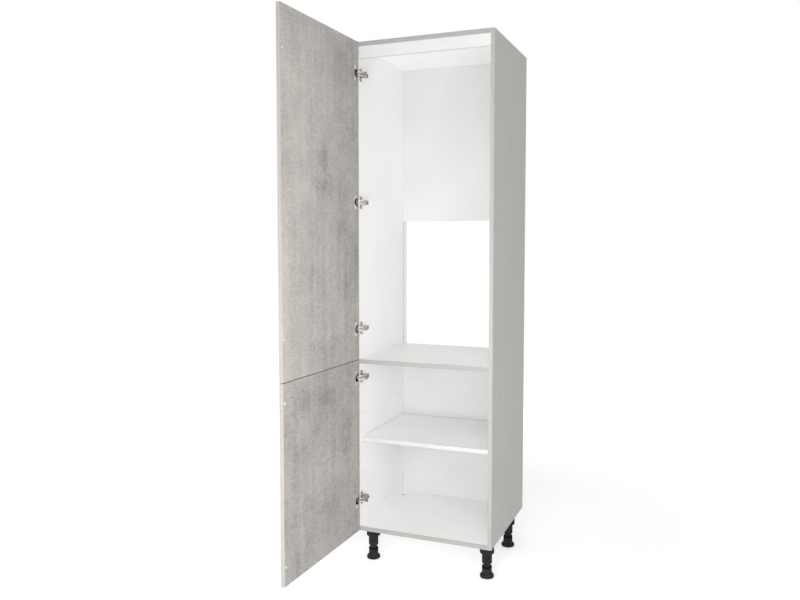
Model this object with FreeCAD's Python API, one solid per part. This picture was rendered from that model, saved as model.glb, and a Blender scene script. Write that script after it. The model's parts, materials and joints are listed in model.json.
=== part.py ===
import FreeCAD, Part
import math
import os

V = FreeCAD.Vector
UP = V(0, 0, 1)

# Carcass, in millimetres; the wall is at y = 0, the floor at z = 0 and the front faces -Y
CARCASS_WIDTH = 600.0
CARCASS_DEPTH = 545.0
CARCASS_HEIGHT = 2070.0
LEG_HEIGHT = 150.0
SIDE_THICKNESS = 16.0
DECK_THICKNESS = 19.0
BAND_THICKNESS = 1.0
FIXED_SHELF_RISE = 742.5
RAIL_HEIGHT = 48.0
RAIL_THICKNESS = 16.0

# Back panels, their grooves and the open window between them
BACK_THICKNESS = 3.0
BACK_CAVITY = 37.0
GROOVE_DEPTH = 8.0
GROOVE_CLEARANCE = 0.2
WINDOW_HEIGHT = 594.5

# Dowels between the sides and the boards that they carry
DOWEL_RADIUS = 4.0
DOWEL_LENGTH = 35.0
DOWEL_IN_SIDE = 11.0
DOWEL_FRONT_INSET = 26.0
DOWEL_REAR_INSET = 60.0

# Rows of shelf holes and the loose shelf
HOLE_RADIUS = 2.5
HOLE_DEPTH = 11.0
FRONT_ROW = 37.0
ROW_SPACING = 416.0
HOLE_PITCH = 64.0
HOLE_COUNT = 5
FIRST_HOLE_RISE = 253.5
HOLES_UNDER_SHELF_COUNT = 2
PIN_REACH = 8.0
PIN_LUG_RADIUS = 4.5
LOOSE_SHELF_THICKNESS = 16.0
LOOSE_SHELF_INSET = 20.0
LOOSE_SHELF_DEPTH = 480.0
LOOSE_SHELF_CLEARANCE = 1.0
SPARE_BORE_INSET = 280.0
SPARE_BORE_RISE = 58.0

# Doors
DOOR_THICKNESS = 16.0
DOOR_REVEAL = 1.5
DOOR_END_REVEAL = 2.0
DOOR_SPLIT = 3.0
SPLIT_DROP = 1.0
DOOR_GAP = 2.0
DOOR_EDGE_ROUND = 1.0
OPEN_ANGLE = 91.5
OPEN_CORNER_INSIDE = 2.4
OPEN_CORNER_FORWARD = 5.44
HANDLE_HOLE_RADIUS = 2.5
HANDLE_SPACING = 160.0
HANDLE_INSET = 56.0
UPPER_HANDLE_RISE = 88.5
LOWER_HANDLE_DROP = 56.0
BUMPER_RADIUS = 4.5
BUMPER_HEIGHT = 1.6
BUMPER_ROUND = 0.8
BUMPER_INSET = 10.5
UPPER_BUMPER_INSET = 152.5
LOWER_BUMPER_INSET = 71.0

# Hinge heights, from the ends of the doors
UPPER_HINGE_INSET = 131.0
LOWER_HINGE_RISE = 134.4
LOWER_HINGE_DROP = 74.5

# Hinge cup, measured along the door from its hinge edge (s) and out of its inner face (d)
CUP_CENTRE = 20.5
CUP_RADIUS = 17.5
CUP_DEPTH = 11.5
CUP_WALL = 0.8
CUP_RIM = 0.4
CUP_SCREW_SPACING = 45.0
CUP_SCREW_OFFSET = 9.5
CUP_EAR_RADIUS = 8.0
CUP_SCREW_RADIUS = 1.8
CUP_SCREW_LENGTH = 11.0
CUP_SCREW_HEAD_RADIUS = 3.2
CUP_SCREW_HEAD_HEIGHT = 1.4
OUTER_CUP_PIN = (7.79, -6.56)
INNER_CUP_PIN = (10.14, -2.07)
OUTER_CUP_PIN_HALF = 11.2
LUG_INNER = 2.7
LUG_OUTER = 4.2
LUG_RADIUS = 2.0
LUG_START = 9.4
LUG_WIDTH = 3.0

# Hinge links, with their bends given in the closed door's s and d
HINGE_PIN_RADIUS = 0.9
SLOT_PIN_RADIUS = 0.8
PIN_CLEARANCE = 0.3
OUTER_BEND = (16.76, -8.37)
OUTER_LINK_INNER = 4.6
OUTER_LINK_OUTER = 6.2
OUTER_LINK_HALF_WIDTH = 1.5
OUTER_EYE_RADIUS = 2.3
OUTER_FLANGE = 9.0
OUTER_FLANGE_SETBACK = 7.5
INNER_BEND = (17.19, -2.81)
INNER_LINK_HALF_HEIGHT = 2.4
INNER_LINK_HALF_WIDTH = 1.4
INNER_EYE_RADIUS = 1.9
SLOT_CLEARANCE = 0.6
SLOT_TRAVEL = 2.0

# Hinge arm on its mounting plate
OUTER_ARM_PIN_SETBACK = 5.15
INNER_ARM_PIN_SETBACK = 3.81
ARM_NOSE_RADIUS = 4.0
ARM_CHEEK_INNER = 6.6
ARM_SHEET = 1.6
ARM_SLOPE = 36.0
ARM_TOP = 22.0
ARM_SHOULDER = 14.0
ARM_TAIL = 51.0
ARM_PIN_STAND = 0.4
ARM_SCREW_RADIUS = 2.0
ARM_SCREW_LENGTH = 12.0
ARM_SCREW_HEAD_RADIUS = 3.5
ARM_SCREW_HEAD_HEIGHT = 1.8
ARM_SCREW_SETBACK = 31.0
ARM_SCREW_SPACING = 12.0
PLATE_THICKNESS = 2.5
PLATE_CLEARANCE = 0.5
PLATE_RAIL_CLEARANCE = 0.3
PLATE_SETBACK = 20.0
PLATE_RAIL_FRONT = 29.0
PLATE_TAIL = 48.0
PLATE_WING_WIDTH = 16.0
PLATE_WING_SPAN = 52.0
PLATE_SCREW_SPACING = 32.0
PLATE_SCREW_HEAD_RADIUS = 3.6
PLATE_SCREW_HEAD_HEIGHT = 1.8

# Legs and their screw feet
LEG_SIDE_INSET = 42.0
LEG_FRONT_INSET = 88.0
LEG_REAR_INSET = 105.0
LEG_PLATE_WIDTH = 64.0
LEG_PLATE_LENGTH = 76.0
LEG_PLATE_THICKNESS = 5.0
LEG_PLATE_CORNER = 8.0
LEG_SOCKET_RADIUS = 30.0
LEG_SOCKET_LENGTH = 41.0
LEG_TUBE_RADIUS = 21.0
LEG_TUBE_END = 57.0
LEG_TUBE_CHAMFER = 4.5
LEG_HOLE_RADIUS = 2.5
LEG_HOLE_DROP = 8.0
LEG_HOLE_BEARING = 45.0
LEG_SCREW_ACROSS = 40.0
LEG_SCREW_ALONG = 60.0
LEG_SCREW_RADIUS = 1.9
LEG_SCREW_DEPTH = 13.0
LEG_SCREW_HEAD_RADIUS = 3.6
LEG_SCREW_HEAD_HEIGHT = 2.0
FOOT_PAD_RADIUS = 29.5
FOOT_PAD_EDGE = 3.0
FOOT_PAD_TOP = 8.0
FOOT_FLARE = 11.0
FOOT_RADIUS = 20.5
FOOT_SHOULDER = 47.0
FOOT_STEM_RADIUS = 15.0
FOOT_STEM_LENGTH = 62.0
FOOT_NECK_GAP = 4.0
FOOT_CLEARANCE = 0.3
DRIVE_RADIUS = 4.0
DRIVE_DEPTH = 6.0
BUSH_RADIUS = 7.0
BUSH_WALL = 2.0
BUSH_RIM = 2.0
BUSH_RIM_HEIGHT = 1.0

# Places that follow from the sizes above
FRONT = -CARCASS_DEPTH
BOARD_FRONT = FRONT + BAND_THICKNESS
HALF_WIDTH = CARCASS_WIDTH / 2
INNER_HALF = HALF_WIDTH - SIDE_THICKNESS
CARCASS_TOP = LEG_HEIGHT + CARCASS_HEIGHT
BASE_TOP = LEG_HEIGHT + DECK_THICKNESS
CEILING = CARCASS_TOP - DECK_THICKNESS
SHELF_TOP = LEG_HEIGHT + FIXED_SHELF_RISE
SHELF_UNDER = SHELF_TOP - DECK_THICKNESS
BACK_REAR = -BACK_CAVITY
BACK_FRONT = BACK_REAR - BACK_THICKNESS
WINDOW_TOP = SHELF_TOP + WINDOW_HEIGHT
ROWS = (FRONT + FRONT_ROW, FRONT + FRONT_ROW + ROW_SPACING)
HOLE_HEIGHTS = [LEG_HEIGHT + FIRST_HOLE_RISE + HOLE_PITCH * i for i in range(HOLE_COUNT)]
SHELF_PIN_HEIGHT = HOLE_HEIGHTS[HOLES_UNDER_SHELF_COUNT]
LOOSE_SHELF_UNDER = SHELF_PIN_HEIGHT + PIN_LUG_RADIUS
SIDES = {"left": -1, "right": 1}

DOOR_WIDTH = CARCASS_WIDTH - 2 * DOOR_REVEAL
SPLIT_CENTRE = SHELF_TOP - SPLIT_DROP
DOOR_SPANS = {
    "upper": (SPLIT_CENTRE + DOOR_SPLIT / 2, CARCASS_TOP - DOOR_END_REVEAL),
    "lower": (LEG_HEIGHT + DOOR_END_REVEAL, SPLIT_CENTRE - DOOR_SPLIT / 2),
}
UPPER_LOW = DOOR_SPANS["upper"][0] + UPPER_HINGE_INSET
UPPER_HIGH = DOOR_SPANS["upper"][1] - UPPER_HINGE_INSET
LOWER_LOW = DOOR_SPANS["lower"][0] + LOWER_HINGE_RISE
LOWER_HIGH = DOOR_SPANS["lower"][1] - LOWER_HINGE_DROP
HINGE_HEIGHTS = {
    "upper": (UPPER_LOW, (UPPER_LOW + UPPER_HIGH) / 2, UPPER_HIGH),
    "lower": (LOWER_LOW, LOWER_HIGH),
}
ALL_HINGES = HINGE_HEIGHTS["lower"] + HINGE_HEIGHTS["upper"]
HANDLE_HEIGHTS = {
    "upper": DOOR_SPANS["upper"][0] + UPPER_HANDLE_RISE,
    "lower": DOOR_SPANS["lower"][1] - LOWER_HANDLE_DROP,
}
BUMPER_INSETS = {"upper": UPPER_BUMPER_INSET, "lower": LOWER_BUMPER_INSET}

WALL_X = -INNER_HALF
CLOSED_CORNER = V(-HALF_WIDTH + DOOR_REVEAL, FRONT - DOOR_GAP, 0)
OPEN_CORNER = V(WALL_X + OPEN_CORNER_INSIDE, FRONT - OPEN_CORNER_FORWARD, 0)
DOOR_TURN = FreeCAD.Rotation(UP, -OPEN_ANGLE)
CUP_INSIDE_RADIUS = CUP_RADIUS - CUP_WALL
CUP_FLOOR = CUP_WALL - CUP_DEPTH
CUP_SCREW_S = CUP_CENTRE + CUP_SCREW_OFFSET
ARM_CHEEK_OUTER = ARM_CHEEK_INNER + ARM_SHEET
ARM_SCREWS = (FRONT + ARM_SCREW_SETBACK, FRONT + ARM_SCREW_SETBACK + ARM_SCREW_SPACING)
PLATE_Y = FRONT + PLATE_SETBACK

LEG_X = HALF_WIDTH - LEG_SIDE_INSET
LEG_PLACES = {
    "front_left": (-LEG_X, FRONT + LEG_FRONT_INSET),
    "front_right": (LEG_X, FRONT + LEG_FRONT_INSET),
    "rear_left": (-LEG_X, -LEG_REAR_INSET),
    "rear_right": (LEG_X, -LEG_REAR_INSET),
}
LEG_PLATE_UNDER = LEG_HEIGHT - LEG_PLATE_THICKNESS
SOCKET_END = LEG_PLATE_UNDER - LEG_SOCKET_LENGTH
FOOT_TOP = LEG_TUBE_END - FOOT_NECK_GAP
ACCESS_RADIUS = BUSH_RADIUS - BUSH_WALL


# Shared shapes
def block(xs, ys, zs):
    """Box between the two ends given on each axis."""
    low = V(min(xs), min(ys), min(zs))
    high = V(max(xs), max(ys), max(zs))
    size = high - low
    return Part.makeBox(size.x, size.y, size.z, low)


def rod(radius, start, end):
    """Round bar from one point to another."""
    axis = end - start
    return Part.makeCylinder(radius, axis.Length, start, axis)


def slab(points, zs):
    """Flat plate with a straight-sided outline, between two heights."""
    base = [V(p.x, p.y, min(zs)) for p in points]
    outline = Part.makePolygon(base + base[:1])
    return Part.Face(outline).extrude(UP * (max(zs) - min(zs)))


def strip(start, end, half_width, zs):
    """Flat bar with round ends, between two heights."""
    along = (end - start).normalize()
    across = V(-along.y, along.x, 0) * half_width
    tip = along * half_width
    lift = UP * min(zs)
    near = [start + across + lift, start - tip + lift, start - across + lift]
    far = [end - across + lift, end + tip + lift, end + across + lift]
    edges = [
        Part.Arc(*near).toShape(),
        Part.makeLine(near[2], far[0]),
        Part.Arc(*far).toShape(),
        Part.makeLine(far[2], near[0]),
    ]
    return Part.Face(Part.Wire(edges)).extrude(UP * (max(zs) - min(zs)))


def turned(profile, x, y):
    """Solid of revolution about an upright axis, from radius and height pairs."""
    points = [V(x + radius, y, height) for radius, height in profile]
    face = Part.Face(Part.makePolygon(points + points[:1]))
    return face.revolve(V(x, y, 0), UP, 360)


def joined(shapes):
    """One solid made of shapes that overlap."""
    return shapes[0].multiFuse(shapes[1:]).removeSplitter()


def lifted(shape, height):
    """Copy of a shape raised to a height."""
    copy = shape.copy()
    copy.translate(UP * height)
    return copy


def at_heights(shapes, heights):
    """Copies of the shapes at each height."""
    return [lifted(shape, height) for height in heights for shape in shapes]


def on_open_door(shape):
    """Shape drawn on a door's own s and d, moved to where the open door is."""
    copy = shape.copy()
    copy.Placement = FreeCAD.Placement(OPEN_CORNER, DOOR_TURN).multiply(shape.Placement)
    return copy


def save(name, shapes):
    """Write one node, of one solid or of several."""
    shape = shapes[0] if len(shapes) == 1 else Part.makeCompound(shapes)
    shape.exportStep("parts/" + name + ".step")


# Dowels
def dowel(side, y, z):
    """Dowel across the joint between a side panel and the end of a board."""
    inside = INNER_HALF + DOWEL_IN_SIDE - DOWEL_LENGTH
    return rod(DOWEL_RADIUS, V(side * inside, y, z), V(side * (INNER_HALF + DOWEL_IN_SIDE), y, z))


def all_dowels():
    """Three dowels at each end of the top, base and fixed shelf, and one at each end of the rail."""
    first = FRONT + DOWEL_FRONT_INSET
    last = -DOWEL_REAR_INSET
    decks = [board_top - DECK_THICKNESS / 2 for board_top in (BASE_TOP, SHELF_TOP, CARCASS_TOP)]
    places = [(y, z) for z in decks for y in (first, (first + last) / 2, last)]
    places.append((BOARD_FRONT + RAIL_THICKNESS / 2, CEILING - RAIL_HEIGHT / 2))
    return [dowel(side, y, z) for side in SIDES.values() for y, z in places]


# Boards of the carcass
def back_groove(xs, zs):
    """Cut for the edge of a back panel."""
    return block(xs, (BACK_FRONT - GROOVE_CLEARANCE, BACK_REAR + GROOVE_CLEARANCE), zs)


def wall_hole(side, y, z):
    """Blind hole in the inner face of a side panel."""
    return rod(HOLE_RADIUS, V(side * INNER_HALF, y, z), V(side * (INNER_HALF + HOLE_DEPTH), y, z))


def plate_screw_heights():
    """Heights of the screws of all mounting plates."""
    half = PLATE_SCREW_SPACING / 2
    return [height + offset for height in ALL_HINGES for offset in (-half, half)]


def side_panel(side, dowels):
    """Side board with its back groove, dowel holes and rows of shelf holes."""
    board = block((side * INNER_HALF, side * HALF_WIDTH), (BOARD_FRONT, 0), (LEG_HEIGHT, CARCASS_TOP))
    groove = back_groove((side * INNER_HALF, side * (INNER_HALF + GROOVE_DEPTH)), (LEG_HEIGHT, CARCASS_TOP))
    holes = [wall_hole(side, row, height) for row in ROWS for height in HOLE_HEIGHTS]
    holes.append(wall_hole(side, FRONT + SPARE_BORE_INSET, LEG_HEIGHT + SPARE_BORE_RISE))
    if side == SIDES["left"]:
        holes += [wall_hole(side, PLATE_Y, height) for height in plate_screw_heights()]
    return board.cut([groove] + holes + dowels)


def deck(top):
    """Board between the sides, given its top face."""
    return block((-INNER_HALF, INNER_HALF), (BOARD_FRONT, 0), (top - DECK_THICKNESS, top))


def deck_groove(face, depth):
    """Back groove across a deck, from a face to a depth below or above it."""
    return back_groove((-INNER_HALF, INNER_HALF), (face, face + depth))


def leg_screw_places(leg):
    """Plan places of the four screws of a leg."""
    x, y = LEG_PLACES[leg]
    half_across = LEG_SCREW_ACROSS / 2
    half_along = LEG_SCREW_ALONG / 2
    return [V(x + i * half_across, y + j * half_along, 0) for i in (-1, 1) for j in (-1, 1)]


def leg_screw(place):
    """Pan-head screw up through a leg plate into the base panel."""
    head = rod(LEG_SCREW_HEAD_RADIUS, place + UP * (LEG_PLATE_UNDER - LEG_SCREW_HEAD_HEIGHT),
               place + UP * LEG_PLATE_UNDER)
    shank = rod(LEG_SCREW_RADIUS, place + UP * LEG_PLATE_UNDER, place + UP * (LEG_HEIGHT + LEG_SCREW_DEPTH))
    return joined([head, shank])


def access_places():
    """Plan places of the two bushes over the rear legs."""
    return [V(*LEG_PLACES[leg], 0) for leg in ("rear_left", "rear_right")]


def access_bush(place):
    """Rimmed bush through the base panel, for a driver that turns the foot below."""
    sleeve = rod(BUSH_RADIUS, place + UP * LEG_HEIGHT, place + UP * BASE_TOP)
    rim = rod(BUSH_RADIUS + BUSH_RIM, place + UP * BASE_TOP, place + UP * (BASE_TOP + BUSH_RIM_HEIGHT))
    bore = rod(ACCESS_RADIUS, place + UP * LEG_HEIGHT, place + UP * (BASE_TOP + BUSH_RIM_HEIGHT))
    return joined([sleeve, rim]).cut(bore)


def base_panel(dowels, leg_screws):
    """Base board with holes for the leg screws and the access bushes."""
    bores = [rod(BUSH_RADIUS, place + UP * LEG_HEIGHT, place + UP * BASE_TOP) for place in access_places()]
    return deck(BASE_TOP).cut([deck_groove(BASE_TOP, -GROOVE_DEPTH)] + bores + dowels + leg_screws)


def back_panel(low, high):
    """Thin back board held in the side grooves, between two heights."""
    half = INNER_HALF + GROOVE_DEPTH - GROOVE_CLEARANCE
    return block((-half, half), (BACK_FRONT, BACK_REAR), (low, high))


def front_band(xs, zs):
    """Edge band on the front of a carcass board."""
    return block(xs, (FRONT, BOARD_FRONT), zs)


def deck_band(top):
    """Edge band on the front of a deck."""
    return front_band((-INNER_HALF, INNER_HALF), (top - DECK_THICKNESS, top))


def build_carcass():
    """Boards, bands, dowels and back of the cabinet."""
    dowels = all_dowels()
    leg_screws = [leg_screw(place) for leg in LEG_PLACES for place in leg_screw_places(leg)]
    for name, side in SIDES.items():
        save(name + "_side_panel", [side_panel(side, dowels)])
        band = front_band((side * INNER_HALF, side * HALF_WIDTH), (LEG_HEIGHT, CARCASS_TOP))
        save(name + "_side_band", [band])
    save("top_panel", [deck(CARCASS_TOP).cut([deck_groove(CEILING, GROOVE_DEPTH)] + dowels)])
    save("fixed_shelf", [deck(SHELF_TOP).cut([deck_groove(SHELF_UNDER, GROOVE_DEPTH)] + dowels)])
    save("base_panel", [base_panel(dowels, leg_screws)])
    for name, top in (("top_panel", CARCASS_TOP), ("fixed_shelf", SHELF_TOP), ("base_panel", BASE_TOP)):
        save(name + "_band", [deck_band(top)])
    rail = block((-INNER_HALF, INNER_HALF), (BOARD_FRONT, BOARD_FRONT + RAIL_THICKNESS),
                 (CEILING - RAIL_HEIGHT, CEILING))
    save("top_front_rail", [rail.cut(dowels)])
    save("upper_back_panel", [back_panel(WINDOW_TOP, CEILING + GROOVE_DEPTH)])
    lower_back_top = SHELF_UNDER + GROOVE_DEPTH - GROOVE_CLEARANCE
    save("lower_back_panel", [back_panel(BASE_TOP - GROOVE_DEPTH, lower_back_top)])
    save("carcass_dowels", dowels)
    save("leg_screws", leg_screws)
    save("leg_access_bushes", [access_bush(place) for place in access_places()])


# Loose shelf and its pins
def shelf_pin(side, y):
    """Peg in a side panel with a flat-topped lug under the shelf."""
    peg = wall_hole(side, y, SHELF_PIN_HEIGHT)
    face = V(side * INNER_HALF, y, SHELF_PIN_HEIGHT)
    tip = face - V(side * PIN_REACH, 0, 0)
    lug = rod(PIN_LUG_RADIUS, face, tip)
    ys = (y - PIN_LUG_RADIUS, y + PIN_LUG_RADIUS)
    seat = block((face.x, tip.x), ys, (SHELF_PIN_HEIGHT, LOOSE_SHELF_UNDER))
    return joined([peg, lug, seat])


def build_loose_shelf():
    """Shelf board lying on four pins, with a band on its front."""
    half = INNER_HALF - LOOSE_SHELF_CLEARANCE
    front = FRONT + LOOSE_SHELF_INSET
    zs = (LOOSE_SHELF_UNDER, LOOSE_SHELF_UNDER + LOOSE_SHELF_THICKNESS)
    save("loose_shelf", [block((-half, half), (front + BAND_THICKNESS, front + LOOSE_SHELF_DEPTH), zs)])
    save("loose_shelf_band", [block((-half, half), (front, front + BAND_THICKNESS), zs)])
    save("shelf_pins", [shelf_pin(side, row) for side in SIDES.values() for row in ROWS])


# Places of the hinge pins in plan
def closed_point(s, d):
    """Place of a point of the door when it is shut."""
    return CLOSED_CORNER + V(s, d, 0)


def open_point(s, d):
    """Place of a point of the door when it is open."""
    return OPEN_CORNER + DOOR_TURN.multVec(V(s, d, 0))


def arm_pin(cup_pin, setback):
    """Arm pin that is as far from its cup pin with the door shut as with the door open."""
    shut = closed_point(*cup_pin)
    step = open_point(*cup_pin) - shut
    middle = shut + step * 0.5
    y = FRONT + setback
    return V(middle.x - (y - middle.y) * step.y / step.x, y, 0)


def link_turn(pivot, cup_pin):
    """Angle that a link turns through as the door opens."""
    before = closed_point(*cup_pin) - pivot
    after = open_point(*cup_pin) - pivot
    return math.degrees(math.atan2(before.cross(after).z, before.dot(after)))


OUTER_ARM_PIN = arm_pin(OUTER_CUP_PIN, OUTER_ARM_PIN_SETBACK)
INNER_ARM_PIN = arm_pin(INNER_CUP_PIN, INNER_ARM_PIN_SETBACK)


# Links
def outer_link():
    """Pair of bent and flanged plates between the arm and the far side of the cup."""
    bend = closed_point(*OUTER_BEND)
    tip = closed_point(*OUTER_CUP_PIN)
    flange_end = OUTER_ARM_PIN + (bend - OUTER_ARM_PIN).normalize() * OUTER_FLANGE_SETBACK
    plates = []
    for side in (-1, 1):
        zs = (side * OUTER_LINK_INNER, side * OUTER_LINK_OUTER)
        low, high = UP * min(zs), UP * max(zs)
        bars = [strip(bend, end, OUTER_LINK_HALF_WIDTH, zs) for end in (OUTER_ARM_PIN, tip)]
        flange_zs = (side * OUTER_LINK_INNER, side * OUTER_FLANGE)
        flange = strip(flange_end, bend, OUTER_LINK_HALF_WIDTH, flange_zs)
        eyes = [rod(OUTER_EYE_RADIUS, end + low, end + high) for end in (OUTER_ARM_PIN, tip)]
        holes = [rod(HINGE_PIN_RADIUS + PIN_CLEARANCE, end + low, end + high) for end in (OUTER_ARM_PIN, tip)]
        plates.append(joined(bars + [flange] + eyes).cut(holes))
    for plate in plates:
        plate.rotate(OUTER_ARM_PIN, UP, link_turn(OUTER_ARM_PIN, OUTER_CUP_PIN))
    return plates


def inner_link():
    """Bent bar between the arm and the near side of the cup, with a slot for its cup pin."""
    zs = (-INNER_LINK_HALF_HEIGHT, INNER_LINK_HALF_HEIGHT)
    low, high = UP * min(zs), UP * max(zs)
    bend = closed_point(*INNER_BEND)
    tip = closed_point(*INNER_CUP_PIN)
    slot_start = tip - (tip - INNER_ARM_PIN).normalize() * SLOT_TRAVEL
    bars = [strip(bend, end, INNER_LINK_HALF_WIDTH, zs) for end in (INNER_ARM_PIN, tip)]
    eyes = [rod(INNER_EYE_RADIUS, INNER_ARM_PIN + low, INNER_ARM_PIN + high),
            strip(slot_start, tip, INNER_EYE_RADIUS, zs)]
    holes = [rod(HINGE_PIN_RADIUS + PIN_CLEARANCE, INNER_ARM_PIN + low, INNER_ARM_PIN + high),
             strip(slot_start, tip, SLOT_PIN_RADIUS + SLOT_CLEARANCE, zs)]
    link = joined(bars + eyes).cut(holes)
    link.rotate(INNER_ARM_PIN, UP, link_turn(INNER_ARM_PIN, INNER_CUP_PIN))
    return link


# Arm and mounting plate
def arm_pins():
    """Pins of both links across the arm."""
    half = UP * (ARM_CHEEK_OUTER + ARM_PIN_STAND)
    return [rod(HINGE_PIN_RADIUS, pin - half, pin + half) for pin in (OUTER_ARM_PIN, INNER_ARM_PIN)]


def arm_screw(y):
    """Screw through the top of the arm into the mounting plate."""
    top = V(WALL_X + ARM_TOP, y, 0)
    out = V(1, 0, 0)
    head = rod(ARM_SCREW_HEAD_RADIUS, top, top + out * ARM_SCREW_HEAD_HEIGHT)
    shank = rod(ARM_SCREW_RADIUS, top - out * ARM_SCREW_LENGTH, top)
    return joined([head, shank])


def arm_top_line(offset):
    """Nose, heel and tail of the arm's top, moved in by an offset."""
    slope = math.radians(ARM_SLOPE)
    nose = INNER_ARM_PIN + V(math.cos(slope), math.sin(slope), 0) * (ARM_NOSE_RADIUS - offset)
    top = WALL_X + ARM_TOP - offset
    run = (nose.x - top) / math.sin(slope)
    heel = V(top, nose.y + run * math.cos(slope), 0)
    return nose, heel, V(top, FRONT + ARM_TAIL, 0)


def hinge_arm():
    """Bent channel that carries both link pins, open towards the wall."""
    full = (-ARM_CHEEK_OUTER, ARM_CHEEK_OUTER)
    foot_x = WALL_X + PLATE_THICKNESS + PLATE_CLEARANCE
    nose, heel, tail = arm_top_line(0)
    shoulder = [V(foot_x, tail.y, 0), V(foot_x, FRONT + ARM_SHOULDER, 0)]
    chin = OUTER_ARM_PIN - V(ARM_NOSE_RADIUS, 0, 0)
    side = slab([nose, heel, tail] + shoulder + [chin, OUTER_ARM_PIN, INNER_ARM_PIN], full)
    snout = strip(OUTER_ARM_PIN, INNER_ARM_PIN, ARM_NOSE_RADIUS, full)
    nose_in, heel_in, tail_in = arm_top_line(ARM_SHEET)
    ahead = nose_in + (nose_in - heel_in).normalize() * ARM_NOSE_RADIUS * 2
    pocket = slab([ahead, heel_in, tail_in, V(WALL_X, tail.y, 0), V(WALL_X, ahead.y, 0)],
                  (-ARM_CHEEK_INNER, ARM_CHEEK_INNER))
    screws = [arm_screw(y) for y in ARM_SCREWS]
    return joined([side, snout]).cut([pocket] + arm_pins() + screws)


def plate_screw(height):
    """Screw through a mounting plate wing into the side panel."""
    face = V(WALL_X + PLATE_THICKNESS, PLATE_Y, height)
    head = rod(PLATE_SCREW_HEAD_RADIUS, face, face + V(PLATE_SCREW_HEAD_HEIGHT, 0, 0))
    shank = rod(HOLE_RADIUS, V(WALL_X - HOLE_DEPTH, PLATE_Y, height), face)
    return joined([head, shank])


def mounting_plate():
    """Winged plate on the side panel with a rail that the arm sits on."""
    rail_half = ARM_CHEEK_INNER - PLATE_RAIL_CLEARANCE
    base_xs = (WALL_X, WALL_X + PLATE_THICKNESS)
    rail_xs = (WALL_X, WALL_X + ARM_TOP - ARM_SHEET)
    tail = FRONT + PLATE_TAIL
    wing_ys = (PLATE_Y - PLATE_WING_WIDTH / 2, PLATE_Y + PLATE_WING_WIDTH / 2)
    rail = block(rail_xs, (FRONT + PLATE_RAIL_FRONT, tail), (-rail_half, rail_half))
    foot = block(base_xs, (min(wing_ys), tail), (-ARM_CHEEK_OUTER, ARM_CHEEK_OUTER))
    wings = block(base_xs, wing_ys, (-PLATE_WING_SPAN / 2, PLATE_WING_SPAN / 2))
    half = PLATE_SCREW_SPACING / 2
    cutters = [arm_screw(y) for y in ARM_SCREWS] + [plate_screw(-half), plate_screw(half)]
    return joined([rail, foot, wings]).cut(cutters)


# Hinge cup
def cup_screw(offset):
    """Screw through a cup ear into the door, drawn on the door's own s and d."""
    face = V(CUP_SCREW_S, CUP_WALL, offset)
    inward = V(0, -1, 0)
    head = rod(CUP_SCREW_HEAD_RADIUS, face, face - inward * CUP_SCREW_HEAD_HEIGHT)
    shank = rod(CUP_SCREW_RADIUS, face, face + inward * CUP_SCREW_LENGTH)
    return joined([head, shank])


def cup_screws():
    """Both screws of a cup."""
    return [cup_screw(offset) for offset in (-CUP_SCREW_SPACING / 2, CUP_SCREW_SPACING / 2)]


def cup_pins():
    """Both link pins of a cup, drawn on the door's own s and d."""
    outer = V(*OUTER_CUP_PIN, 0)
    inner = V(*INNER_CUP_PIN, 0)
    return [
        rod(HINGE_PIN_RADIUS, outer - UP * OUTER_CUP_PIN_HALF, outer + UP * OUTER_CUP_PIN_HALF),
        rod(SLOT_PIN_RADIUS, inner - UP * LUG_OUTER, inner + UP * LUG_OUTER),
    ]


def cup_round(radius, low, high):
    """Round of the cup between two levels along d."""
    return rod(radius, V(CUP_CENTRE, low, 0), V(CUP_CENTRE, high, 0))


def cup_lug(zs):
    """Lug that holds the inner link's pin above the cup floor."""
    pin = V(*INNER_CUP_PIN, 0)
    post = block((LUG_START, LUG_START + LUG_WIDTH), (CUP_FLOOR, pin.y), zs)
    return joined([post, rod(LUG_RADIUS, pin + UP * min(zs), pin + UP * max(zs))])


def hinge_cup():
    """Round cup let into the door, with a flange, two ears and two lugs."""
    half = CUP_SCREW_SPACING / 2
    body = cup_round(CUP_RADIUS, -CUP_DEPTH, 0)
    rim = cup_round(CUP_RADIUS + CUP_RIM, 0, CUP_WALL)
    bridge = block((CUP_SCREW_S - CUP_EAR_RADIUS, CUP_SCREW_S + CUP_EAR_RADIUS), (0, CUP_WALL), (-half, half))
    ears = [rod(CUP_EAR_RADIUS, V(CUP_SCREW_S, 0, z), V(CUP_SCREW_S, CUP_WALL, z)) for z in (-half, half)]
    hollow = cup_round(CUP_INSIDE_RADIUS, CUP_FLOOR, CUP_WALL)
    shell = joined([body, rim, bridge] + ears).cut(hollow)
    lugs = [cup_lug((LUG_INNER, LUG_OUTER)), cup_lug((-LUG_OUTER, -LUG_INNER))]
    return joined([shell] + lugs).cut(cup_pins() + cup_screws())


# Doors
def door_board(low, high):
    """Whole door with its upright edges rounded, drawn on its own s and d."""
    door = block((0, DOOR_WIDTH), (-DOOR_THICKNESS, 0), (low, high))
    upright = [edge for edge in door.Edges if abs(edge.tangentAt(edge.FirstParameter).z) > 0.5]
    return door.makeFillet(DOOR_EDGE_ROUND, upright)


def door_holes(which):
    """Handle holes, cup bores and cup screw holes of a door."""
    handle = HANDLE_HEIGHTS[which]
    first = DOOR_WIDTH - HANDLE_INSET
    holes = [rod(HANDLE_HOLE_RADIUS, V(s, -DOOR_THICKNESS, handle), V(s, 0, handle))
             for s in (first, first - HANDLE_SPACING)]
    cup = [cup_round(CUP_RADIUS, -CUP_DEPTH, 0)] + cup_screws()
    return holes + at_heights(cup, HINGE_HEIGHTS[which])


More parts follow.
